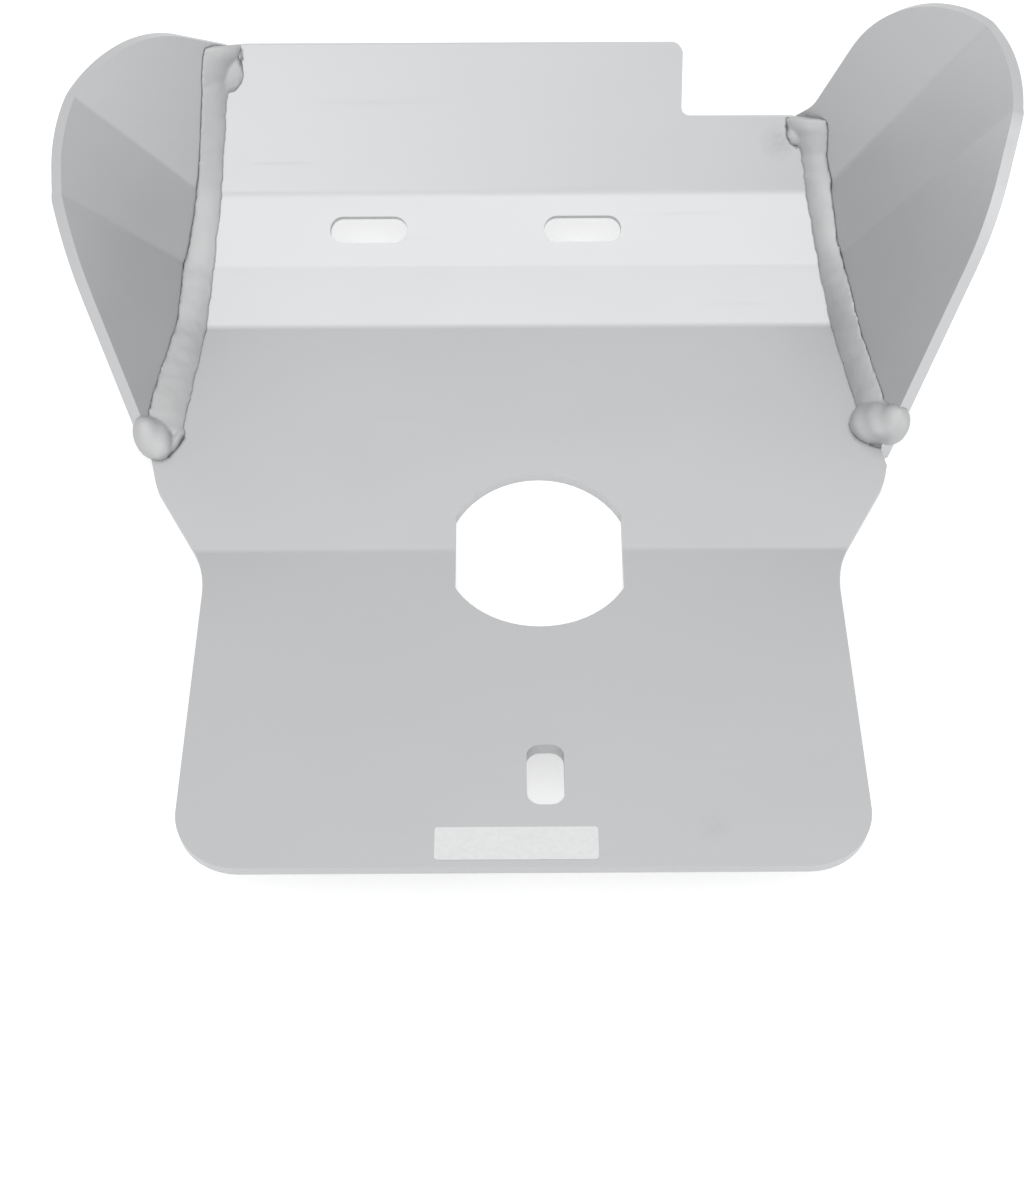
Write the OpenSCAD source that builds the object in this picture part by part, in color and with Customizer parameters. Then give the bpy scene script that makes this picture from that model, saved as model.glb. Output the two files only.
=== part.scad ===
// Motorcycle skid plate: a folded aluminium sheet with two ear-shaped side wings
// welded along its front sides. It stands on the underside of its middle panel.
// X runs across the motorcycle, Y towards its front wheel and Z up, all in millimetres.

/* [Sheet] */
// Thickness of the sheet and of both wings
sheet_t = 4.76; // [3:0.01:6]
// Radius on the inside of every bend in the sheet
bend_r = 8; // [4:0.5:12]
// Length of the flat rear panel
rear_len = 123; // [100:1:150]
// Width of the rear panel
rear_w = 206; // [190:1:220]
// Radius of the two rear corners
rear_corner_r = 20; // [8:1:30]
// Length of the middle panel that the plate stands on
middle_len = 89.5; // [80:0.5:110]
// Length of the first rising panel
lower_rise_len = 22.5; // [18:0.5:32]
// Length of the second rising panel, which holds the front slots
slot_panel_len = 25; // [20:0.5:34]
// Length of the steep front flange
flange_len = 51; // [40:0.5:65]

/* [Bends] */
// Bend between the rear and the middle panel
rear_bend = 12.5; // [6:0.5:18]
// Bend between the middle panel and the first rise
rise_bend = 17; // [10:0.5:22]
// Bend between the two rising panels
slot_bend = 10.5; // [6:0.5:16]
// Bend between the second rise and the flange
flange_bend = 22; // [14:0.5:28]

/* [Waist] */
// Where the sides start to flare, measured back from the rear bend
flare_start = 7; // [2:0.5:14]
// How far the shoulders stand out beyond the rear panel on each side
shoulder_out = 18.5; // [15:0.5:21]
// Distance of the shoulders in front of the rear bend
shoulder_at = 25; // [22:0.5:28]
// Radius of the hollow curve at the waist
waist_r = 42; // [30:1:50]
// Radius of the shoulders
shoulder_r = 13; // [8:1:16]

/* [Openings] */
// Diameter of the round oil drain opening
drain_d = 62; // [50:1:70]
// Width of the drain opening between its two flats
drain_flats = 54.8; // [44:0.2:60]
// Middle of the drain opening, to the right of the centre line
drain_x = 6; // [-10:0.5:12]
// Middle of the drain opening behind the rear bend
drain_back = 1.5; // [0:0.5:6]
// Width of the rear slot
rear_slot_w = 11.3; // [9:0.1:14]
// Length of the rear slot
rear_slot_len = 22; // [16:0.5:30]
// Corner radius of the rear slot
rear_slot_r = 4.2; // [2:0.1:4.4]
// Middle of the rear slot, to the right of the centre line
rear_slot_x = 6.7; // [-10:0.1:12]
// Middle of the rear slot, measured from the rear edge
rear_slot_at = 33; // [28:0.5:45]
// Width of the two front slots
front_slot_w = 9.2; // [7:0.1:11]
// Length of the two front slots
front_slot_len = 27; // [20:0.5:34]
// Distance between the middles of the front slots
front_slot_gap = 75; // [60:0.5:90]
// Midpoint of the front slots, to the left of the centre line
front_slot_left = 15; // [0:0.5:20]
// Depth of the notch in the right front corner
notch_depth = 25; // [12:0.5:32]
// Side of the notch, to the right of the centre line
notch_x = 56.5; // [40:0.5:70]
// Radius of the notch's corners
notch_r = 3.6; // [2:0.2:6]

/* [Left wing] */
// Half width between the wing and the centre line at the bend behind the slots
left_at = 115.2; // [108:0.1:118]
// Lean of the wing out of the vertical
left_lean = 26.5; // [18:0.5:34]
// Turn of the wing's face towards the rear
left_toe = 28; // [20:0.5:34]
// Direction of the rear crease, from the wing's foot
left_crease_a = 83; // [75:1:95]
// Fold at the rear crease
left_fold_a = 16; // [8:0.5:20]
// Direction of the front crease, from the wing's foot
left_crease_b = 78; // [70:1:90]
// Fold at the front crease
left_fold_b = 15; // [8:0.5:18]

/* [Right wing] */
// Half width between the wing and the centre line at the bend behind the slots
right_at = 109.2; // [106:0.1:116]
// Lean of the wing out of the vertical
right_lean = 26.5; // [18:0.5:34]
// Turn of the wing's face towards the rear
right_toe = 23; // [18:0.5:30]
// Direction of the rear crease, from the wing's foot
right_crease_a = 72; // [66:1:90]
// Fold at the rear crease
right_fold_a = 9.5; // [5:0.5:14]
// Direction of the front crease, from the wing's foot
right_crease_b = 69; // [64:1:85]
// Fold at the front crease
right_fold_b = 21; // [12:0.5:24]

/* [Wings] */
// Radius on the inside of the wings' creases
crease_r = 6; // [2:0.5:10]
// Length of the left wing along its foot
left_len = 157; // [150:0.5:162]
// Height of the left wing's outline above its foot
left_h = 71; // [64:0.5:80]
// Length of the right wing along its foot
right_len = 163; // [156:0.5:168]
// Height of the right wing's outline above its foot
right_h = 99; // [88:0.5:110]

/* [Welds] */
// Half width between the left bead's toe on the sheet and the centre line, at its rear end
left_toe_rear = 113.9; // [108:0.1:116]
// The same at the bend in front of the middle panel
left_toe_mid = 108.3; // [104:0.1:111]
// The same at the front end
left_toe_front = 98; // [92:0.1:100]
// The same three for the right bead
right_toe_rear = 115.4; // [108:0.1:116]
// Half width at the bend in front of the middle panel
right_toe_mid = 108.4; // [104:0.1:109]
// Half width at the front end
right_toe_front = 95.9; // [90:0.1:98]
// Height of the left bead's leg on the wing, at its rear end
left_leg = 6; // [4:0.2:7]
// Height of the right bead's leg on the wing, at its rear end
right_leg = 10; // [7:0.2:11]
// Height of the bead's crown above the straight line between its toes
weld_crown = 1; // [0.4:0.1:2]
// Distance between the ripples of the bead
ripple_pitch = 6; // [3:0.2:8]
// Height of the ripples
ripple_h = 0.15; // [0.05:0.05:0.4]
// How much wider the fan at the front end of each bead gets on the sheet
fan_out = 4; // [2:0.2:6]
// Length of the fan at the front end
fan_len = 14; // [10:0.5:20]
// Where the left bead starts, measured back from the bend behind the slots
left_back = 67; // [60:0.5:69]
// Where the right bead starts, measured back from the bend behind the slots
right_back = 62; // [56:0.5:66]
// Radius of the round weld that closes the rear tip of each wing
wrap_r = 7.4; // [5.5:0.1:8]

/* [Label] */
// Width of the blank label near the rear edge
label_w = 48; // [30:1:70]
// Height of the label
label_h = 11.3; // [8:0.1:16]
// Thickness of the label
label_t = 0.2; // [0.1:0.05:0.4]
// Middle of the label, to the left of the centre line
label_left = 2.2; // [-10:0.1:10]
// Middle of the label, measured from the rear edge
label_at = 8.3; // [7:0.1:11]

/* [Hidden] */
$fn = 64;

// Slope of each panel, from the rear one to the flange
slope = [-rear_bend, 0, rise_bend, rise_bend + slot_bend, rise_bend + slot_bend + flange_bend];
function along(a) = [cos(a), sin(a)];
function above(a) = [-sin(a), cos(a)];

// Sharp corners of the sheet's upper side, seen from the right: Y and Z
rear_bend_at = [-middle_len / 2, sheet_t];
rise_bend_at = [middle_len / 2, sheet_t];
slot_bend_at = rise_bend_at + lower_rise_len * along(slope[2]);
flange_bend_at = slot_bend_at + slot_panel_len * along(slope[3]);
front_edge_at = flange_bend_at + flange_len * along(slope[4]);
rear_edge_at = rear_bend_at - rear_len * along(slope[0]);
corners = [rear_edge_at, rear_bend_at, rise_bend_at, slot_bend_at, flange_bend_at, front_edge_at];
function bend_angle(i) = slope[i] - slope[i - 1];
function bend_set_back(i) = i < 1 || i > 4 ? 0 : bend_r * tan(bend_angle(i) / 2);
function bend_centre(i) =
    corners[i] - bend_set_back(i) * along(slope[i - 1]) + bend_r * above(slope[i - 1]);

half_w = rear_w / 2;
// How far the cutting shapes go past the part
reach = 2 * rear_w;

// Outline with rounded corners, each a run of points along its arc
arc_step = 3;
function unit(v) = v / norm(v);
function corner_arc(a, b, c, r) =
    let (p = unit(a - b), q = unit(c - b), half = acos(p * q) / 2,
         middle = b + unit(p + q) * r / sin(half),
         from = b + p * r / tan(half) - middle, to = b + q * r / tan(half) - middle,
         sweep = atan2(from.x * to.y - from.y * to.x, from * to), start = atan2(from.y, from.x),
         n = max(2, ceil(abs(sweep) / arc_step)))
    [for (k = [0:n]) middle + r * [cos(start + sweep * k / n), sin(start + sweep * k / n)]];
function rounded(points, radii) =
    let (n = len(points))
    [for (i = [0:n - 1]) each
        radii[i] == 0 ? [points[i]]
        : corner_arc(points[(i + n - 1) % n], points[i], points[(i + 1) % n], radii[i])];

// The sheet seen from its right side, with its four bends
function low_corner(i) =
    let (lean = i == 0 ? slope[0] : i == 5 ? slope[4] : (slope[i - 1] + slope[i]) / 2,
         turn = i == 0 || i == 5 ? 0 : bend_angle(i) / 2)
    corners[i] - sheet_t / cos(turn) * above(lean);
module side_profile() {
    outer_r = bend_r + sheet_t;
    polygon(rounded(concat([for (i = [5:-1:0]) corners[i]], [for (i = [0:5]) low_corner(i)]),
                    [0, bend_r, bend_r, bend_r, bend_r, 0, 0, outer_r, outer_r, outer_r, outer_r, 0]));
}
module across() {
    rotate([90, 0, 90]) translate([0, 0, -reach]) linear_extrude(2 * reach) children();
}
// The space under the sheet, its underside carried on straight past both ends
module under_sheet() {
    behind = low_corner(0) - reach * along(slope[0]);
    ahead = low_corner(5) + reach * along(slope[4]);
    across() polygon(concat([behind], [for (i = [0:5]) low_corner(i)],
                            [ahead, [ahead.x, -reach], [behind.x, -reach]]));
}

// The sheet seen from above: square rear part, waist and shoulders
function rear_y(back) = rear_bend_at.x - back * cos(slope[0]);
module plan_outline() {
    side = [[half_w, rear_y(rear_len)], [half_w, rear_y(flare_start)],
            [half_w + shoulder_out, rear_bend_at.x + shoulder_at],
            [half_w + shoulder_out + 0.32 * shoulder_at, rear_bend_at.x + 2.36 * shoulder_at]];
    front = [[reach, side[3].y], [reach, reach]];
    half = concat(side, front);
    mirrored = [for (i = [len(half) - 1:-1:0]) [-half[i].x, half[i].y]];
    radii = [rear_corner_r, waist_r, shoulder_r, 0, 0, 0];
    back_radii = [for (i = [len(radii) - 1:-1:0]) radii[i]];
    polygon(rounded(concat(half, mirrored), concat(radii, back_radii)));
}

// Stands children on the upper side of a panel: X across, Y up the slope from the bend behind it
module on_panel(i) {
    translate([0, corners[i].x, corners[i].y]) rotate([slope[i], 0, 0]) children();
}
module through(depth = 3 * sheet_t) {
    translate([0, 0, -depth]) linear_extrude(2 * depth) children();
}
module round_slot(w, l) {
    square([l - w, w], center = true);
    for (side = [-1, 1]) translate([side * (l - w) / 2, 0]) circle(d = w);
}
module rounded_rect(w, h, r) {
    square([w - 2 * r, h], center = true);
    square([w, h - 2 * r], center = true);
    for (x = [-1, 1], y = [-1, 1]) translate([x * (w / 2 - r), y * (h / 2 - r)]) circle(r);
}
// The drain opening follows the rear bend, so each half is square to its own panel
module drain_half(side) {
    through(2 * sheet_t) intersection() {
        translate([drain_x, -drain_back]) circle(d = drain_d, $fn = 128);
        translate([drain_x, side * (drain_d - sheet_t)]) square(2 * drain_d, center = true);
    }
}
module drain_opening() {
    intersection() {
        translate([0, rear_bend_at.x, rear_bend_at.y]) {
            rotate([slope[0], 0, 0]) drain_half(-1);
            drain_half(1);
        }
        translate([drain_x - drain_flats / 2, -reach, -reach]) cube([drain_flats, 2 * reach, 2 * reach]);
    }
}
module rear_slot() {
    on_panel(0) translate([rear_slot_x, rear_slot_at])
        through() rounded_rect(rear_slot_w, rear_slot_len, rear_slot_r);
}
module front_slots() {
    on_panel(3) for (side = [-1, 1])
        translate([side * front_slot_gap / 2 - front_slot_left, slot_panel_len / 2])
            through() round_slot(front_slot_w, front_slot_len);
}
module notch() {
    floor_at = flange_len - notch_depth;
    on_panel(4) through() polygon(concat(
        corner_arc([0, flange_len], [notch_x, flange_len], [notch_x, floor_at], notch_r),
        corner_arc([notch_x, flange_len], [notch_x, floor_at], [reach, floor_at], notch_r),
        [[reach, floor_at], [reach, reach], [notch_x - notch_r, reach]]));
}

// Flat outlines of the wings with the radius of each corner, all with the wing's height as
// one. The outline is stretched to the wing's length and height.
left_shape = [[-1.127, -0.197], [1.085, -0.197], [1.069, 0.17], [0.976, 0.627], [0.587, 1],
              [-0.068, 0.831], [-1.085, 0.182]];
left_rounding = [0, 0, 0, 0.556, 0.655, 1.944, 0];
right_shape = [[-0.848, -0.141], [0.517, -0.141], [0.545, 0.101], [0.798, 0.54], [0.52, 1],
               [-0.04, 0.783], [-0.778, 0.192]];
right_rounding = [0, 0, 0.136, 0.404, 0.343, 1.051, 0];
function drawn_len(shape) = max([for (p = shape) p.x]) - min([for (p = shape) p.x]);
function sized(shape, rounding, l, h) =
    [for (p = rounded(shape, rounding)) [l * p.x / drawn_len(shape), h * p.y]];

// Bead toes on the sheet and legs on the wing, by distance from the rear bend along the sheet
up_to_slots = middle_len + lower_rise_len;
up_to_flange = up_to_slots + slot_panel_len;
left_start = up_to_slots - left_back;
right_start = up_to_slots - right_back;
left_toes = [[left_start, left_toe_rear], [middle_len, left_toe_mid],
             [up_to_flange + flange_len, left_toe_front]];
left_legs = [[left_start, 0.92 * left_leg], [0.66 * middle_len, 1.17 * left_leg],
             [middle_len, 1.08 * left_leg], [up_to_slots + fan_len / 2, 0.5 * left_leg],
             [up_to_flange, 0.73 * left_leg], [up_to_flange + fan_len, 0.9 * left_leg],
             [up_to_flange + flange_len - fan_len / 3, 1.75 * left_leg]];
right_toes = [[right_start, right_toe_rear], [middle_len, right_toe_mid],
              [up_to_flange + flange_len - notch_depth, right_toe_front]];
right_legs = [[right_start, right_leg], [0.89 * middle_len, 1.1 * right_leg],
              [1.04 * middle_len, 1.2 * right_leg], [up_to_slots + fan_len / 2, 0.58 * right_leg],
              [up_to_flange + fan_len, 0.63 * right_leg],
              [up_to_flange + flange_len - notch_depth - fan_len / 5, 0.9 * right_leg]];
// A wing's measures: place at the slot bend, lean, toe, rear crease and fold, front crease
// and fold, outline, bead toes and bead legs
left = [left_at, left_lean, left_toe, left_crease_a, left_fold_a, left_crease_b, left_fold_b,
        sized(left_shape, left_rounding, left_len, left_h), left_toes, left_legs];
right = [right_at, right_lean, right_toe, right_crease_a, right_fold_a, right_crease_b, right_fold_b,
         sized(right_shape, right_rounding, right_len, right_h), right_toes, right_legs];

// Both wings are worked out as left ones, and the right one is mirrored.
// The middle zone of a wing lies in one plane with the edge of the slot panel.
function spin(v, k, a) = v * cos(a) + cross(k, v) * sin(a) + k * (k * v) * (1 - cos(a));
function face_b(w) = [cos(w[1]) * cos(w[2]), -cos(w[1]) * sin(w[2]), sin(w[1])];
function foot_dir(w) = -unit(cross(face_b(w), [0, -sin(slope[3]), cos(slope[3])]));
function up_dir(w) = cross(face_b(w), foot_dir(w));
function foot_a(w) = [-w[0], slot_bend_at.x, slot_bend_at.y];
function foot_run(w) = slot_panel_len * cos(slope[3]) / foot_dir(w).y;
function foot_b(w) = foot_a(w) + foot_run(w) * foot_dir(w);
function crease(w, a) = foot_dir(w) * cos(a) + up_dir(w) * sin(a);
function face_a(w) = spin(face_b(w), crease(w, w[3]), w[4]);
function face_c(w) = spin(face_b(w), crease(w, w[5]), -w[6]);

module wing_plane(w) {
    u = foot_dir(w);
    v = up_dir(w);
    n = face_b(w);
    o = foot_a(w);
    multmatrix([[u.x, v.x, n.x, o.x], [u.y, v.y, n.y, o.y], [u.z, v.z, n.z, o.z], [0, 0, 0, 1]])
        children();
}
module folded_a(w, part = 1) {
    rotate(a = part * w[4], v = [cos(w[3]), sin(w[3]), 0]) children();
}
module folded_c(w, part = 1) {
    run = foot_run(w);
    translate([run, 0, 0]) rotate(a = -part * w[6], v = [cos(w[5]), sin(w[5]), 0])
        translate([-run, 0, 0]) children();
}
// Bend lines of a wing, in order from its rear to its front: a point on the line, the
// direction square to it, and the distance
bend_lines = 4;
function half_bend(fold) = crease_r * fold * PI / 360;
function across_dir(a) = [-sin(a), cos(a)];
function lines_of(w) = concat(
    [for (k = [0:bend_lines])
        [[0, 0], across_dir(w[3]), half_bend(w[4]) * (1 - 2 * k / bend_lines)]],
    [for (k = [0:bend_lines])
        [[foot_run(w), 0], across_dir(w[5]), half_bend(w[6]) * (1 - 2 * k / bend_lines)]]);
function ahead_of(line, p) = line[2] - (p - line[0]) * line[1];

// The outline with a point added wherever a bend line crosses it. Each point also carries
// the first and the last of the cells, counted from the rear, that it belongs to.
function cell_of(lines, p) = len([for (l = lines) if (ahead_of(l, p) > 0) 1]);
function crossings(lines, p, q) =
    let (forward = cell_of(lines, q) >= cell_of(lines, p), last = len(lines) - 1)
    [for (i = [0:last])
        let (k = forward ? i : last - i, a = ahead_of(lines[k], p), b = ahead_of(lines[k], q))
        if (a * b < 0) [for (v = p + (q - p) * a / (a - b)) v, k, k + 1]];
function ring_of(w) =
    let (lines = lines_of(w), points = w[7], n = len(points))
    [for (i = [0:n - 1]) each concat(
        [[points[i].x, points[i].y, cell_of(lines, points[i]), cell_of(lines, points[i])]],
        crossings(lines, points[i], points[(i + 1) % n]))];

// Where a point of the flat blank comes to lie once the wing is folded
function bent(p, h, o, a, fold, side) =
    let (e = along(a), n = side * across_dir(a), b = half_bend(fold), c = (p - o) * e, d = (p - o) * n,
         turn = min(fold, (d + b) / crease_r * 180 / PI), past = max(0, d - b),
         d2 = -b + (crease_r - h) * sin(turn) + past * cos(turn), flat = o + c * e + d2 * n)
    [flat.x, flat.y, crease_r - (crease_r - h) * cos(turn) + past * sin(turn)];
function folded(w, p, h) =
    let (run = foot_run(w), rear = p * across_dir(w[3]), front = -(p - [run, 0]) * across_dir(w[5]))
    rear > -half_bend(w[4]) ? bent(p, h, [0, 0], w[3], w[4], 1)
    : front > -half_bend(w[6]) ? bent(p, h, [run, 0], w[5], w[6], -1) : [p.x, p.y, h];
function placed(w, p, mirrored) =
    let (q = foot_a(w) + p.x * foot_dir(w) + p.y * up_dir(w) + p.z * face_b(w))
    [mirrored ? -q.x : q.x, q.y, q.z];
module folded_wing(w, mirrored) {
    ring = ring_of(w);
    n = len(ring);
    inner = [for (r = ring) placed(w, folded(w, [r.x, r.y], 0), mirrored)];
    outer = [for (r = ring) placed(w, folded(w, [r.x, r.y], -sheet_t), mirrored)];
    cells = [for (j = [0:2 * bend_lines + 2])
        [for (i = [0:n - 1]) if (ring[i][2] <= j && ring[i][3] >= j) i]];
    inner_faces = [for (c = cells) [for (i = [len(c) - 1:-1:0]) c[i]]];
    outer_faces = [for (c = cells) [for (i = c) n + i]];
    rim = [for (i = [0:n - 1]) let (j = (i + 1) % n) each [[i, j, n + j], [i, n + j, n + i]]];
    faces = concat(inner_faces, outer_faces, rim);
    turned = [for (f = faces) [for (k = [len(f) - 1:-1:0]) f[k]]];
    polyhedron(concat(inner, outer), mirrored ? turned : faces, convexity = 4);
}
// The whole space on the outer side of a wing's inner faces
module outside_wing(w) {
    block = [4 * reach, 4 * reach, reach];
    wing_plane(w) {
        folded_a(w) translate([-2 * reach, -2 * reach, -reach]) cube(block);
        translate([-2 * reach, -2 * reach, -reach]) cube(block);
        folded_c(w) translate([-2 * reach, -2 * reach, -reach]) cube(block);
    }
}
module wing(w, mirrored = false) {
    difference() {
        folded_wing(w, mirrored);
        under_sheet();
    }
}

// Weld path: the sheet's upper side from the wing's rear tip to the front end, with its slope
path_step = 1.6;
function bend_points(i) = [
    for (k = [0:3])
        let (a = slope[i - 1] + bend_angle(i) * k / 3)
        [bend_centre(i) - bend_r * above(a), a]
];
function panel_points(i, from, to) =
    let (n = max(1, ceil((to - from) / path_step)))
    [for (k = [1:n - 1]) [corners[i] + (from + (to - from) * k / n) * along(slope[i]), slope[i]]];
function weld_path(start, flange_run) = concat(
    [[corners[1] + start * along(slope[1]), slope[1]]],
    panel_points(1, start, middle_len - bend_set_back(2)), bend_points(2),
    panel_points(2, bend_set_back(2), lower_rise_len - bend_set_back(3)), bend_points(3),
    panel_points(3, bend_set_back(3), slot_panel_len - bend_set_back(4)), bend_points(4),
    panel_points(4, bend_set_back(4), flange_run),
    [[corners[4] + flange_run * along(slope[4]), slope[4]]]);

// Distance of a point in front of a wing's three inner faces
function clear_of(w, p) = [(p - foot_a(w)) * face_a(w), (p - foot_a(w)) * face_b(w),
                           (p - foot_b(w)) * face_c(w)];
function face_x(f, o, q) = o.x - (f.y * (q.x - o.y) + f.z * (q.y - o.z)) / f.x;
function foot_x(w, q) = max(face_x(face_a(w), foot_a(w), q), face_x(face_b(w), foot_a(w), q),
                            face_x(face_c(w), foot_b(w), q));
function nearest_face(w, p) =
    let (c = clear_of(w, p)) min(c) == c[0] ? face_a(w) : min(c) == c[1] ? face_b(w) : face_c(w);
function pushed_in(w, p) =
    let (c = clear_of(w, p), a = c[0] < 0 ? p - c[0] * face_a(w) : p, d = clear_of(w, a),
         b = d[1] < 0 ? a - d[1] * face_b(w) : a, e = clear_of(w, b))
    e[2] < 0 ? b - e[2] * face_c(w) : b;

crown_points = 6;
function ease(x) = let (c = max(0, min(1, x))) c * c * (3 - 2 * c);
// One cross section of the bead: the root, then from the toe on the sheet over the crown
// to the toe on the wing
function weld_section(w, station, run, total, start) =
    let (q = station[0], a = station[1], root = [foot_x(w, q), q.x, q.y],
         up = unit(cross(nearest_face(w, root), [0, cos(a), sin(a)])),
         fan = ease((run - total + fan_len) / fan_len),
         ripple = ripple_h * sin(360 * run / ripple_pitch),
         wave = ripple_h * sin(360 * run / (2.3 * ripple_pitch) + 40),
         toe = [-lookup(start + run, w[8]) + fan_out * fan + ripple + wave, q.x, q.y],
         wing_leg = lookup(start + run, w[9]) + ripple - wave,
         top = pushed_in(w, root + wing_leg * up),
         out = unit([1, 0, 0] + up), crown = weld_crown * (1 + 0.6 * fan) + ripple)
    concat([root], [for (k = [0:crown_points])
        let (f = k / crown_points) toe + (top - toe) * f + out * crown * sin(180 * f)]);
module weld_bead(w, start, flange_run) {
    path = weld_path(start, flange_run);
    count = len(path);
    runs = [for (i = 0, r = 0; i < count;
                 r = i + 1 < count ? r + norm(path[i + 1][0] - path[i][0]) : r, i = i + 1) r];
    total = runs[count - 1];
    sections = [for (i = [0:count - 1]) weld_section(w, path[i], runs[i], total, start)];
    ring = crown_points + 2;
    points = [for (s = sections) each s];
    sides = [for (i = [0:count - 2], k = [0:ring - 1])
        let (a = i * ring + k, b = i * ring + (k + 1) % ring)
        each [[a, b, b + ring], [a, b + ring, a + ring]]];
    first = [for (k = [1:ring - 2]) [0, k + 1, k]];
    last = [for (k = [1:ring - 2]) let (o = (count - 1) * ring) [o, o + k, o + k + 1]];
    polyhedron(points, concat(sides, first, last));
}

// Round weld over the rear tip of a wing, from its inner face round to the sheet's edge. Its
// two drops are placed in radii from the bead's root.
module rear_wrap(w, start, at, back) {
    q = corners[1] + start * along(slope[1]);
    root = [foot_x(w, q), q.x, q.y];
    difference() {
        union() {
            translate(root + wrap_r * at) sphere(wrap_r);
            translate(root + wrap_r * (at + back)) sphere(0.85 * wrap_r);
        }
        outside_wing(w);
        translate([-reach, q.x, -reach]) cube(2 * reach);
        translate([-reach, -reach, sheet_t - 2 * reach]) cube(2 * reach);
    }
}

module base_plate() {
    color("silver") difference() {
        intersection() {
            across() side_profile();
            translate([0, 0, -reach]) linear_extrude(2 * reach) plan_outline();
        }
        outside_wing(left);
        mirror([1, 0, 0]) outside_wing(right);
        drain_opening();
        rear_slot();
        front_slots();
        notch();
    }
}
module left_wing() {
    color("silver") wing(left);
}
module right_wing() {
    color("silver") wing(right, true);
}
module left_weld() {
    color("gainsboro") weld_bead(left, left_start, flange_len);
}
module right_weld() {
    color("gainsboro") mirror([1, 0, 0]) weld_bead(right, right_start, flange_len - notch_depth);
}
module left_rear_wrap() {
    color("gainsboro") rear_wrap(left, left_start, [0.4, -0.54, 0], [-0.2, -0.68, 0]);
}
module right_rear_wrap() {
    color("gainsboro") mirror([1, 0, 0]) rear_wrap(right, right_start, [0.07, -0.4, 0], [-0.07, -0.54, 0]);
}
module label() {
    color("white") on_panel(0) translate([-label_left, label_at])
        linear_extrude(label_t) rounded_rect(label_w, label_h, label_h / 11);
}

base_plate();
left_wing();
right_wing();
left_weld();
right_weld();
left_rear_wrap();
right_rear_wrap();
label();
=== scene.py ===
# %% [markdown]
# # A motorcycle skid plate of folded and welded aluminium
#
# The skid plate hangs under an engine and takes the blows of stones. It is one sheet of
# 4.76 mm aluminium with four folds, and two ear-shaped wings that are welded to its front
# sides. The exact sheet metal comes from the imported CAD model. This lesson adds what a
# sheet-metal worker leaves behind: broken edges, weld beads with their toes and drops,
# a rolled surface with fine grain, and a blank sticker near the rear edge.

import bpy
import math
import numpy as np
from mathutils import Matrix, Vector
from mathutils.bvhtree import BVHTree
from mathutils.geometry import intersect_point_line


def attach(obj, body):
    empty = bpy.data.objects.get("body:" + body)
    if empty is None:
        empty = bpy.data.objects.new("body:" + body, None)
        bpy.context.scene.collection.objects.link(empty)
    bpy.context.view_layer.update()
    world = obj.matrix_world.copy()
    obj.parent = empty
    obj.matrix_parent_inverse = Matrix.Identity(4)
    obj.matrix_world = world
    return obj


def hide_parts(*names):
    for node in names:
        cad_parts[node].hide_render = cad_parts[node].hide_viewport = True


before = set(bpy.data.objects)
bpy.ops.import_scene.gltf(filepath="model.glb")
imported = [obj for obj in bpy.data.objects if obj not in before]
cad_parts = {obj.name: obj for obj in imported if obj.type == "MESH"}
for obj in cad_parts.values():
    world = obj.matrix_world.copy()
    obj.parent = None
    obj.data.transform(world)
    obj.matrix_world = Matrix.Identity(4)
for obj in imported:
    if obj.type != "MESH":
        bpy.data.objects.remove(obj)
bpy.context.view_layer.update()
millimetre = 0.001
print("CAD nodes:", sorted(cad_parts))

# %% [markdown]
# The photograph looks down into the plate from behind it. The lens and the place of the
# camera were worked out from the sheet's parallel folds and from its round opening, so
# the picture needs no shift. The long lens keeps the two wings nearly alike in size.

# %% Set the camera
camera_place = (-0.00419, -0.37339, 0.59132)
camera_turn = [math.radians(angle) for angle in (27.8661, 0.0224, -0.318)]
bpy.ops.object.camera_add(location=camera_place, rotation=camera_turn)
camera = bpy.context.object
camera.name = "photo_camera"
camera.data.sensor_fit = "HORIZONTAL"
camera.data.sensor_width = 36
camera.data.lens = 71.857
camera.data.clip_start = 0.05
bpy.context.scene.camera = camera
print("camera lens", camera.data.lens, "mm")

# %% [markdown]
# Rolled sheet is not a mirror. The rollers leave a very fine grain along the sheet, and
# handling leaves soft cloudy marks that only show as a change of gloss. So the metal gets
# one plain colour, and noise textures move its roughness and its bump by small amounts.
# Each helper below wires one small thing: a noise, a change of range, a bump, or a mark near
# a point or along a line. So every finish further down reads as a short list.

# %% Helpers for finishes
def new_finish(name, colour, metallic, roughness):
    finish = bpy.data.materials.new(name)
    finish.use_nodes = True
    shader = finish.node_tree.nodes["Principled BSDF"]
    shader.inputs["Base Color"].default_value = (*colour, 1)
    shader.inputs["Metallic"].default_value = metallic
    shader.inputs["Roughness"].default_value = roughness
    return finish, finish.node_tree, shader


def noise_node(tree, scale, detail, stretch=(1, 1, 1), roughness=0.5):
    place = tree.nodes.new("ShaderNodeTexCoord")
    mapping = tree.nodes.new("ShaderNodeMapping")
    mapping.inputs["Scale"].default_value = stretch
    noise = tree.nodes.new("ShaderNodeTexNoise")
    noise.inputs["Scale"].default_value = scale
    noise.inputs["Detail"].default_value = detail
    noise.inputs["Roughness"].default_value = roughness
    tree.links.new(place.outputs["Object"], mapping.inputs["Vector"])
    tree.links.new(mapping.outputs["Vector"], noise.inputs["Vector"])
    return noise.outputs["Fac"]


def spread(tree, source, low, high, from_low=0.3, from_high=0.7):
    span = tree.nodes.new("ShaderNodeMapRange")
    span.inputs["From Min"].default_value = from_low
    span.inputs["From Max"].default_value = from_high
    span.inputs["To Min"].default_value = low
    span.inputs["To Max"].default_value = high
    tree.links.new(source, span.inputs["Value"])
    return span.outputs["Result"]


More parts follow.
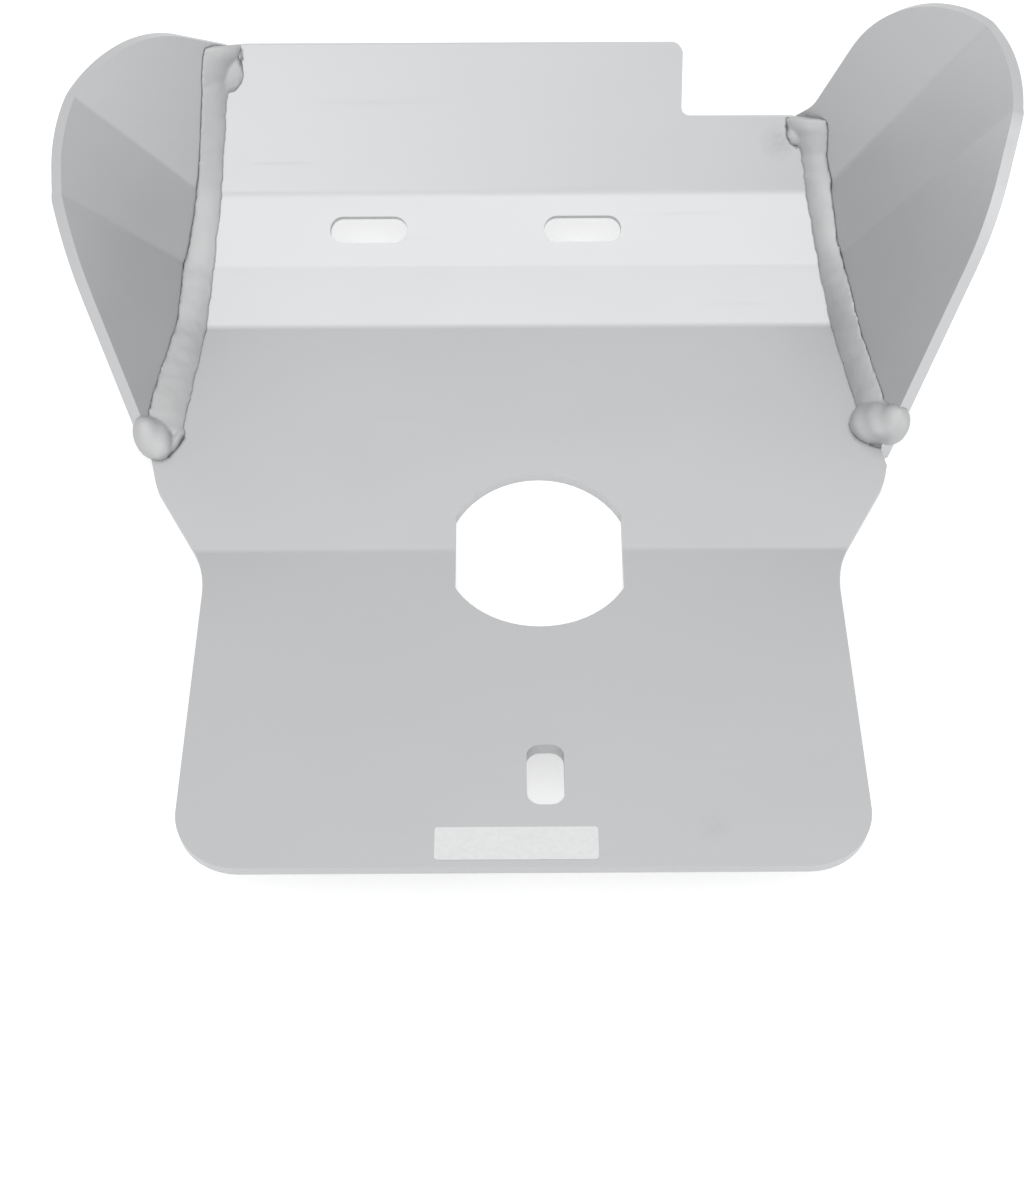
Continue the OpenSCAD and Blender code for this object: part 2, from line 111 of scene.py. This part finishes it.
def combine(tree, operation, first, second):
    step = tree.nodes.new("ShaderNodeMath")
    step.operation = operation
    for socket, value in zip(step.inputs, (first, second)):
        if isinstance(value, (int, float)):
            socket.default_value = value
        else:
            tree.links.new(value, socket)
    return step.outputs["Value"]


def blend_colours(tree, factor, low, high):
    mix = tree.nodes.new("ShaderNodeMix")
    mix.data_type = "RGBA"
    mix.clamp_factor = True
    sockets = [socket for socket in mix.inputs if socket.type == "RGBA"]
    for socket, value in zip(sockets, (low, high)):
        if isinstance(value, tuple):
            socket.default_value = (*value, 1)
        else:
            tree.links.new(value, socket)
    tree.links.new(factor, mix.inputs[0])
    return [socket for socket in mix.outputs if socket.type == "RGBA"][0]


def add_bump(tree, shader, height, depth, strength):
    bump = tree.nodes.new("ShaderNodeBump")
    bump.inputs["Distance"].default_value = depth
    bump.inputs["Strength"].default_value = strength
    tree.links.new(height, bump.inputs["Height"])
    normal = shader.inputs["Normal"]
    if normal.is_linked:
        tree.links.new(normal.links[0].from_socket, bump.inputs["Normal"])
    tree.links.new(bump.outputs["Normal"], normal)


def near_point(tree, point, radius):
    core = 0.2 * radius
    place = tree.nodes.new("ShaderNodeTexCoord")
    gap = tree.nodes.new("ShaderNodeVectorMath")
    gap.operation = "DISTANCE"
    gap.inputs[1].default_value = [value * millimetre for value in point]
    tree.links.new(place.outputs["Object"], gap.inputs[0])
    return spread(tree, gap.outputs["Value"], 1, 0, core * millimetre, radius * millimetre)


def vector_step(tree, operation, first, second):
    step = tree.nodes.new("ShaderNodeVectorMath")
    step.operation = operation
    tree.links.new(first, step.inputs[0])
    if isinstance(second, Vector):
        step.inputs[1].default_value = second
    else:
        tree.links.new(second, step.inputs["Scale" if operation == "SCALE" else 1])
    return step


def near_line(tree, start, end, radius):
    core = 0.3 * radius
    start = Vector(start) * millimetre
    span = Vector(end) * millimetre - start
    place = tree.nodes.new("ShaderNodeTexCoord")
    offset = vector_step(tree, "SUBTRACT", place.outputs["Object"], start)
    share = vector_step(tree, "DOT_PRODUCT", offset.outputs["Vector"], span / span.length_squared)
    share = spread(tree, share.outputs["Value"], 0, 1, 0, 1)
    direction = tree.nodes.new("ShaderNodeCombineXYZ")
    for socket, value in zip(direction.inputs, span):
        socket.default_value = value
    foot = vector_step(tree, "SCALE", direction.outputs["Vector"], share)
    gap = vector_step(tree, "DISTANCE", offset.outputs["Vector"], foot.outputs["Vector"])
    return spread(tree, gap.outputs["Value"], 1, 0, core * millimetre, radius * millimetre)


def darken_lines(tree, colour, lines, dark, strength):
    for line, radius in lines:
        for start, end in zip(line, line[1:]):
            mark = combine(tree, "MULTIPLY", near_line(tree, start, end, radius), strength)
            colour = blend_colours(tree, mark, colour, dark)
    return colour


print("helpers ready")

# %% [markdown]
# The sheet metal is bare aluminium, straight from the press brake. Its grain is stretched
# along X, the direction in which this sheet was rolled. A few faint marks tell of the
# work: soot beside the right bead's front end, a dull fingerprint near the rear edge and
# thin scratches that only shift the gloss. Where the ends of a weld run out on the sheet,
# the shade in the crevice is painted into the colour as painted shade along a few short lines.
# Their points are in millimetres, and each has how far the painted shade reaches to either side.

# %% Rolled sheet finish
sheet_light = (0.555, 0.562, 0.57)
sheet_dull = (0.54, 0.547, 0.555)
soot = (0.33, 0.335, 0.34)
painted_crevice_shade = (0.16, 0.163, 0.167)
soot_mark = {"point": (90.4, 99.6, 36.2), "radius": 7, "strength": 0.4}
finger_mark = {"point": (56.2, -151.5, 28.4), "radius": 6, "strength": 0.12}
# Painted shade: lines where a weld's end leaves a crevice on the sheet, darkened into its colour.
left_front_crevice = [
    (-94.6, 120.5, 60.4), (-94.5, 118.6, 58.2), (-96.7, 115.7, 54.8), (-99.8, 112.6, 51.1)
]
right_front_crevice = [
    (96.5, 105, 42.3), (93.4, 104.9, 42.1), (93.1, 103.2, 40.2), (94.3, 100.6, 37.1), (97, 98.6, 34.8)
]
right_rear_crevice = [(112.4, 3.6, 4.8), (113.8, 0.2, 4.8), (116.8, -2.4, 4.8), (121.2, -3.0, 4.8)]
right_tip_crevice = [(118.2, -4.9, 4.8), (121.8, -6.2, 4.8)]
left_rear_crevice = [(-114.0, -0.8, 5.2), (-118.4, -7.6, 5.0)]
crevice_shade_lines = [
    (left_front_crevice, 0.9),
    (right_front_crevice, 0.9),
    (right_rear_crevice, 1.1),
    (right_tip_crevice, 0.7),
    (left_rear_crevice, 1.5),
]

rolled_sheet, tree, shader = new_finish("rolled_aluminium", sheet_light, metallic=1.0, roughness=0.42)
clouds = noise_node(tree, scale=14, detail=3, stretch=(1, 1.6, 1.6))
scratches = noise_node(tree, scale=240, detail=2, stretch=(0.04, 1, 1), roughness=0.3)
scratch_mask = spread(tree, scratches, 0, 1, from_low=0.70, from_high=0.76)
cloud_gloss = spread(tree, clouds, low=0.39, high=0.45)
scratch_gloss = spread(tree, scratch_mask, low=0, high=0.06, from_low=0, from_high=1)
gloss = combine(tree, "ADD", cloud_gloss, scratch_gloss)
tree.links.new(gloss, shader.inputs["Roughness"])
colour = blend_colours(tree, spread(tree, clouds, 0, 1), sheet_dull, sheet_light)
speckle = noise_node(tree, scale=420, detail=4)
for spot in (soot_mark, finger_mark):
    disc = near_point(tree, spot["point"], spot["radius"])
    mark = combine(tree, "MULTIPLY", disc, spread(tree, speckle, low=0.3, high=1))
    colour = blend_colours(tree, combine(tree, "MULTIPLY", mark, spot["strength"]), colour, soot)
# Painted shade: the sheet's colour is darkened along the crevice lines.
colour = darken_lines(tree, colour, crevice_shade_lines, painted_crevice_shade, strength=0.7)
tree.links.new(colour, shader.inputs["Base Color"])
grain = noise_node(tree, scale=900, detail=3, stretch=(0.12, 1, 1))
add_bump(tree, shader, grain, depth=0.02 * millimetre, strength=0.5)
print("finish made:", rolled_sheet.name)

# %% [markdown]
# The CAD solids have knife-sharp edges. On real sheet metal a file or a tumbler breaks
# every edge, and this thin flat catches the light all along a wing's rim. Each sheet
# piece is therefore made from a merged copy of its CAD node. A limited dissolve brings
# the flat faces back in one piece, and a narrow bevel breaks the edges, wider on the wings.
# Weighted normals keep the large faces truly flat to the eye beside those small bevels.

# %% Break the edges of the sheet pieces
same_point = 0.005 * millimetre
flat_within = math.radians(0.3)
edge_angle = math.radians(40)
smooth_angle = math.radians(30)
plate_chamfer = 0.4 * millimetre
ear_chamfer = 0.8 * millimetre


def only(piece):
    if bpy.context.object and bpy.context.object.mode != "OBJECT":
        bpy.ops.object.mode_set(mode="OBJECT")
    bpy.ops.object.select_all(action="DESELECT")
    piece.select_set(True)
    bpy.context.view_layer.objects.active = piece


def merged_copy(node, name):
    piece = bpy.data.objects.new(name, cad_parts[node].data.copy())
    bpy.context.scene.collection.objects.link(piece)
    only(piece)
    bpy.ops.object.mode_set(mode="EDIT")
    bpy.ops.mesh.select_all(action="SELECT")
    bpy.ops.mesh.remove_doubles(threshold=same_point)
    bpy.ops.object.mode_set(mode="OBJECT")
    return piece


def flatten_faces(piece):
    only(piece)
    bpy.ops.object.mode_set(mode="EDIT")
    bpy.ops.mesh.select_all(action="SELECT")
    bpy.ops.mesh.dissolve_limited(angle_limit=flat_within)
    bpy.ops.object.mode_set(mode="OBJECT")


def apply_modifier(piece, kind, **values):
    only(piece)
    modifier = piece.modifiers.new(kind.lower(), kind)
    for key, value in values.items():
        setattr(modifier, key, value)
    bpy.ops.object.modifier_apply(modifier=modifier.name)


def put_on(piece, finish):
    piece.data.materials.clear()
    piece.data.materials.append(finish)
    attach(piece, "root")
    print(piece.name, len(piece.data.polygons), "faces")


def sheet_piece(node, name, chamfer):
    piece = merged_copy(node, name)
    flatten_faces(piece)
    apply_modifier(piece, "BEVEL", width=chamfer, segments=1,
                   limit_method="ANGLE", angle_limit=edge_angle)
    only(piece)
    bpy.ops.object.shade_smooth_by_angle(angle=smooth_angle)
    apply_modifier(piece, "WEIGHTED_NORMAL", mode="FACE_AREA", weight=90, keep_sharp=True)
    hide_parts(node)
    put_on(piece, rolled_sheet)


sheet_piece("base_plate", "plate_sheet", plate_chamfer)
sheet_piece("left_wing", "left_ear_sheet", ear_chamfer)
sheet_piece("right_wing", "right_ear_sheet", ear_chamfer)

# %% [markdown]
# A weld bead is cast metal: a satin skin, a little rough, with shallow waves where each
# drop froze. Where its toe meets the sheet, a thin crevice lies in shade, and that shade is
# painted into the colour. The finish reads an attribute named toe, which a later cell stores
# on each bead, and darkens the metal there with painted shade. Noise breaks the dark line up,
# as on the real weld. The painted crevice shade from the sheet goes on across the weld.

# %% Weld finish
weld_light = (0.55, 0.553, 0.557)
weld_dull = (0.50, 0.503, 0.507)
painted_weld_shade = (0.13, 0.133, 0.137)

weld_metal, tree, shader = new_finish("weld_metal", weld_light, metallic=1.0, roughness=0.6)
melt = noise_node(tree, scale=120, detail=3)
tree.links.new(spread(tree, melt, low=0.54, high=0.66), shader.inputs["Roughness"])
colour = blend_colours(tree, spread(tree, melt, 0, 1), weld_dull, weld_light)
# Painted shade: the toe attribute and the crevice lines darken the weld's colour where its crevices lie
# in shade.
toe = tree.nodes.new("ShaderNodeAttribute")
toe.attribute_name = "toe"
breaks = spread(tree, noise_node(tree, scale=260, detail=3), low=0.25, high=1)
toe_line = combine(tree, "MULTIPLY", toe.outputs["Fac"], breaks)
colour = blend_colours(tree, toe_line, colour, painted_weld_shade)
colour = darken_lines(tree, colour, crevice_shade_lines, painted_weld_shade, strength=0.6)
tree.links.new(colour, shader.inputs["Base Color"])
add_bump(tree, shader, melt, depth=0.12 * millimetre, strength=0.35)
add_bump(tree, shader, noise_node(tree, scale=1300, detail=2), depth=0.03 * millimetre, strength=0.4)
print("finish made:", weld_metal.name)

# %% [markdown]
# The CAD beads are the right size, but their toes end in a knife edge, their ripples are
# even, and their rear ends are cut off square. A real bead has a soft lip, waves that
# nearly melt away, a fan where the welder ran off the front edge, and a flat lobe over each
# wing's rear tip. So each bead is swollen a little, remeshed by voxels and averaged along
# its own length. Its lobes are made of drops that are fused and smoothed until they melt
# into one another. Then all of it is fused by one more remesh, and a cloud texture makes
# the lip uneven. A drop is given by its place and radii in millimetres, then by its turn and
# tip in degrees. The bead runs uphill with the panel that it lies on, so the averaging takes
# its direction from the places of the folds along Y and from the rise of each panel, and it
# fades out at the bead's ends.

# %% Drops, fused and smoothed
fold_lines = (44.75, 66.3, 88.4)
panel_rises = (0, 17, 27.5, 49.5)
along_power = 8
half_way = 0.5
tiny_pull = 1e-6
fading_end = 9 * millimetre


def drop(place, radii, turn=0, tip=0):
    bpy.ops.object.select_all(action="DESELECT")
    bpy.ops.mesh.primitive_uv_sphere_add(segments=40, ring_count=20, radius=1)
    piece = bpy.context.object
    piece.scale = [radius * millimetre for radius in radii]
    piece.rotation_euler = (math.radians(tip), 0, math.radians(turn))
    piece.location = [value * millimetre for value in place]
    bpy.ops.object.transform_apply(location=True, rotation=True, scale=True)
    return piece


def fuse(pieces, voxel, passes):
    only(pieces[0])
    for piece in pieces[1:]:
        piece.select_set(True)
    bpy.ops.object.join()
    fused = bpy.context.object
    apply_modifier(fused, "REMESH", mode="VOXEL", voxel_size=voxel * millimetre)
    apply_modifier(fused, "SMOOTH", factor=0.5, iterations=passes)
    return fused


def slope_at(places):
    behind = [places[:, 1] < fold * millimetre for fold in fold_lines]
    rise = np.radians(np.select(behind, panel_rises[:-1], panel_rises[-1]))
    return np.stack([0 * rise, np.cos(rise), np.sin(rise)], axis=1)


def smooth_along(piece, passes):
    places = np.array([vertex.co for vertex in piece.data.vertices])
    ends = np.array([edge.vertices for edge in piece.data.edges])
    step = places[ends[:, 1]] - places[ends[:, 0]]
    lined_up = np.abs((step * slope_at(places[ends[:, 0]])).sum(axis=1)) / np.linalg.norm(step, axis=1)
    pull = lined_up ** along_power
    total = np.bincount(ends.ravel(), np.repeat(pull, 2), len(places)) + tiny_pull
    from_ends = np.minimum(places[:, 1] - places[:, 1].min(), places[:, 1].max() - places[:, 1])
    share = half_way * np.clip(from_ends / fading_end, 0, 1)
    for _ in range(passes):
        for axis in range(3):
            line = places[:, axis]
            summed = np.bincount(ends[:, 0], pull * line[ends[:, 1]], len(places))
            summed += np.bincount(ends[:, 1], pull * line[ends[:, 0]], len(places))
            places[:, axis] = line + share * np.minimum(1, total) * (summed / total - line)
    piece.data.vertices.foreach_set("co", places.ravel())
    piece.data.update()


print("panels rise by", panel_rises, "degrees")

# %% [markdown]
# The dark toe is stored on the bead's own points, because it follows the line where weld
# meets plate. Each point's gap to the CAD sheets is measured. The lip is what lies close to
# the plate or the wing, and the toe is what lies closest to the plate. The toe is wider and
# darker near the places where the photograph shows a dark pocket, and the seams between two
# lobes are dark too. Every reach is in millimetres.

# %% Measure where the weld meets the sheet
# The toe, the pockets and the seams mark painted shade: the shade in the crevice along the toe, in the
# hollows at the bead's ends and between two lobes.
lip_reach = 1.4
toe_reach = 0.35
pocket_reach = 1.1
toe_strength = 0.22
seam_reach = 0.8
seam_strength = 0.8


def surface_of(mesh):
    corners = [vertex.co for vertex in mesh.vertices]
    return BVHTree.FromPolygons(corners, [face.vertices for face in mesh.polygons])


def gaps_to(piece, nodes):
    sheets = [surface_of(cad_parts[node].data) for node in nodes]
    return [min(sheet.find_nearest(vertex.co)[3] for sheet in sheets) for vertex in piece.data.vertices]


def nearness(place, pockets):
    share = 0.0
    for point, radius in pockets:
        gap = (place - Vector(point) * millimetre).length
        share = max(share, 1 - gap / (radius * millimetre))
    return share


def seam_share(place, seams):
    gaps = []
    for seam in seams:
        for start, end in zip(seam, seam[1:]):
            ends = [Vector(start) * millimetre, Vector(end) * millimetre]
            foot, share = intersect_point_line(place, *ends)
            foot = ends[0].lerp(ends[1], min(1, max(0, share)))
            gaps.append((place - foot).length)
    return max(0.0, 1 - min(gaps) / (seam_reach * millimetre))


def mark_lip(bead, gaps):
    lip = bead.vertex_groups.new(name="lip")
    for index, gap in enumerate(gaps):
        if gap < lip_reach * millimetre:
            lip.add([index], 1 - gap / (lip_reach * millimetre), "REPLACE")


def mark_toe(bead, gaps, pockets, seams):
    dark = []
    for vertex, gap in zip(bead.data.vertices, gaps):
        near = nearness(vertex.co, pockets)
        toe = max(0.0, 1 - gap / ((toe_reach + pocket_reach * near) * millimetre))
        seam = seam_share(vertex.co, seams)
        dark.append(max(toe * (toe_strength + near), seam_strength * seam))
    toe_marks = bead.data.attributes.new("toe", "FLOAT", "POINT")
    toe_marks.data.foreach_set("value", np.clip(dark, 0, 1))


print("the toe reaches", toe_reach, "mm from the plate")

# %% [markdown]
# Now each weld is put together. Its bead and its lobes become one mesh, the cloud texture
# makes its skin and its lip uneven, and its painted toe shade is marked. The two welds have
# lobes of their own, as a hand left them, and their own pockets and seams of painted shade.
# A pocket is given by its middle and radius in millimetres, and a seam by the points that it follows.

# %% Make the two welds
swell = 0.2 * millimetre
bead_mesh = {"voxel": 0.5, "passes": 2}
lobe_mesh = {"voxel": 0.6, "passes": 60}
weld_mesh = {"voxel": 0.4, "passes": 8}
passes_along = 60
skin_lumps = {"size": 5, "depth": 0.2}
lip_lumps = {"size": 1.6, "depth": 0.7, "group": "lip"}


def roughen(piece, size, depth, group=""):
    lumps = bpy.data.textures.new(piece.name + "_lumps", "CLOUDS")
    lumps.noise_scale = size * millimetre
    apply_modifier(piece, "DISPLACE", texture=lumps, texture_coords="LOCAL",
                   strength=depth * millimetre, mid_level=0.5, vertex_group=group)


def weld_piece(name, bead_node, wrap_node, wing_node, lobes, tail, pockets, seams):
    bead = merged_copy(bead_node, name)
    apply_modifier(bead, "DISPLACE", strength=swell, mid_level=0)
    bead = fuse([bead], **bead_mesh)
    smooth_along(bead, passes_along)
    melted = [fuse([drop(*values) for values in lobe], **lobe_mesh) for lobe in lobes]
    bead = fuse([bead, drop(*tail)] + melted, **weld_mesh)
    bead.name = name
    gaps = gaps_to(bead, ["base_plate", wing_node])
    roughen(bead, **skin_lumps)
    mark_lip(bead, gaps)
    roughen(bead, **lip_lumps)
    mark_toe(bead, gaps_to(bead, ["base_plate"]), pockets, seams)
    only(bead)
    bpy.ops.object.shade_smooth()
    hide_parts(bead_node, wrap_node)
    put_on(bead, weld_metal)


left_lobes = [
    [((-125.2, -1.8, 7.2), (5.2, 8.2, 4.6), 24, 40), ((-122.6, -2.2, 6.2), (5.8, 8.4, 4.2), 18, 8)],
    [((-99.6, 116.8, 54.1), (6.6, 8.4, 3.4), 0, 49.5)],
]
left_tail = ((-116.9, -2.4, 5.0), (2.4, 6.4, 1.7), -28)
right_lobes = [
    [((120.0, 3.4, 5.8), (8.7, 8.6, 5.2)), ((122.8, 2.6, 8.6), (7.6, 8.0, 5.4)),
     ((125.4, -0.2, 10.4), (5.8, 8.0, 5.0), -28, 56)],
    [((96.8, 102.6, 38.0), (4.6, 6.0, 3.0), 0, 49.5)],
]
right_tail = ((118.0, 6.0, 5.2), (4.0, 4.0, 2.4))
left_pockets = [((-97.5, 117, 56), 11), ((-115, -2, 5), 7), ((-103.5, 116, 58), 8)]
right_pockets = [((95, 102, 39), 8), ((116, -1, 5), 8), ((101, 104, 43), 6)]
left_seams = [
    [(-124.6, 6.0, 8.4), (-120.8, 1, 7.4), (-119.0, -3.6, 6), (-118.8, -7.6, 5), (-121.4, -9.2, 5)],
]
right_seams = [[(122.4, 5, 11), (126.4, 0.6, 11.5)]]
weld_piece("left_bead", "left_weld", "left_rear_wrap", "left_wing",
           left_lobes, left_tail, left_pockets, left_seams)
weld_piece("right_bead", "right_weld", "right_rear_wrap", "right_wing",
           right_lobes, right_tail, right_pockets, right_seams)

# %% [markdown]
# The sticker is a thin blank film. Its corners are rounded, and its edge is cut square.
# It gets a matt white finish with a faint fibre.

# %% Blank sticker
film_white = (0.76, 0.77, 0.77)
fibre_dull = (0.74, 0.75, 0.75)
fibre_light = (0.79, 0.80, 0.80)

film, tree, shader = new_finish("sticker_film", film_white, metallic=0.0, roughness=0.55)
fibre = noise_node(tree, scale=700, detail=3)
paper = blend_colours(tree, spread(tree, fibre, 0, 1), fibre_dull, fibre_light)
tree.links.new(paper, shader.inputs["Base Color"])
add_bump(tree, shader, fibre, depth=0.01 * millimetre, strength=0.4)
sticker = merged_copy("label", "blank_sticker")
flatten_faces(sticker)
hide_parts("label")
put_on(sticker, film)

# %% [markdown]
# The studio is plain: a pale floor that runs out of the picture, three soft lamps and a
# pale surround. Metal shows what it mirrors, so the lamps are placed by that: the large
# one above brightens the two rising panels, the one behind on the left brightens the
# flange, and the one behind on the right brightens the front of the left wing. The floor
# glows a little for the camera, and less for reflections. So it is white round the plate
# and inside the slots, and it keeps a soft shadow.

# %% Studio
floor_width = 6
floor_grey = (0.85, 0.85, 0.85)
white = (1, 1, 1, 1)
surround_light = 0.8


def glow_when_seen(tree, low, seen, mirrored):
    rays = tree.nodes.new("ShaderNodeLightPath")
    direct = combine(tree, "MAXIMUM", rays.outputs["Is Camera Ray"], rays.outputs["Is Transmission Ray"])
    direct = combine(tree, "MULTIPLY", direct, seen)
    glossy = combine(tree, "MULTIPLY", rays.outputs["Is Glossy Ray"], mirrored)
    return combine(tree, "MAXIMUM", combine(tree, "MAXIMUM", direct, glossy), low)


bpy.ops.mesh.primitive_plane_add(size=floor_width)
floor = bpy.context.object
floor.name = "studio_floor"
floor_paint, tree, shader = new_finish("floor_paint", floor_grey, metallic=0.0, roughness=0.9)
shader.inputs["Specular IOR Level"].default_value = 0
shader.inputs["Emission Color"].default_value = white
floor_glow = glow_when_seen(tree, low=0, seen=0.42, mirrored=0.3)
tree.links.new(floor_glow, shader.inputs["Emission Strength"])
floor.data.materials.append(floor_paint)


def soft_lamp(name, place, width, height, power):
    bpy.ops.object.light_add(type="AREA", location=place)
    lamp = bpy.context.object
    lamp.name = name
    lamp.data.shape = "RECTANGLE"
    lamp.data.size = width
    lamp.data.size_y = height
    lamp.data.energy = power
    lamp.rotation_euler = (-Vector(place)).to_track_quat("-Z", "Y").to_euler()


soft_lamp("overhead_lamp", place=(0, -0.2, 1.2), width=1.4, height=1.0, power=3.0)
soft_lamp("rear_left_lamp", place=(-0.5, -1.3, 0.65), width=1.0, height=0.6, power=2.2)
soft_lamp("back_right_lamp", place=(1.1, -0.7, 0.4), width=0.7, height=0.6, power=1.25)

world = bpy.data.worlds.new("studio_surround")
bpy.context.scene.world = world
world.use_nodes = True
tree = world.node_tree
background = tree.nodes["Background"]
background.inputs["Color"].default_value = white
surround = glow_when_seen(tree, low=surround_light, seen=1, mirrored=1)
tree.links.new(surround, background.inputs["Strength"])
bpy.context.scene.view_settings.view_transform = "Standard"
print("studio ready")
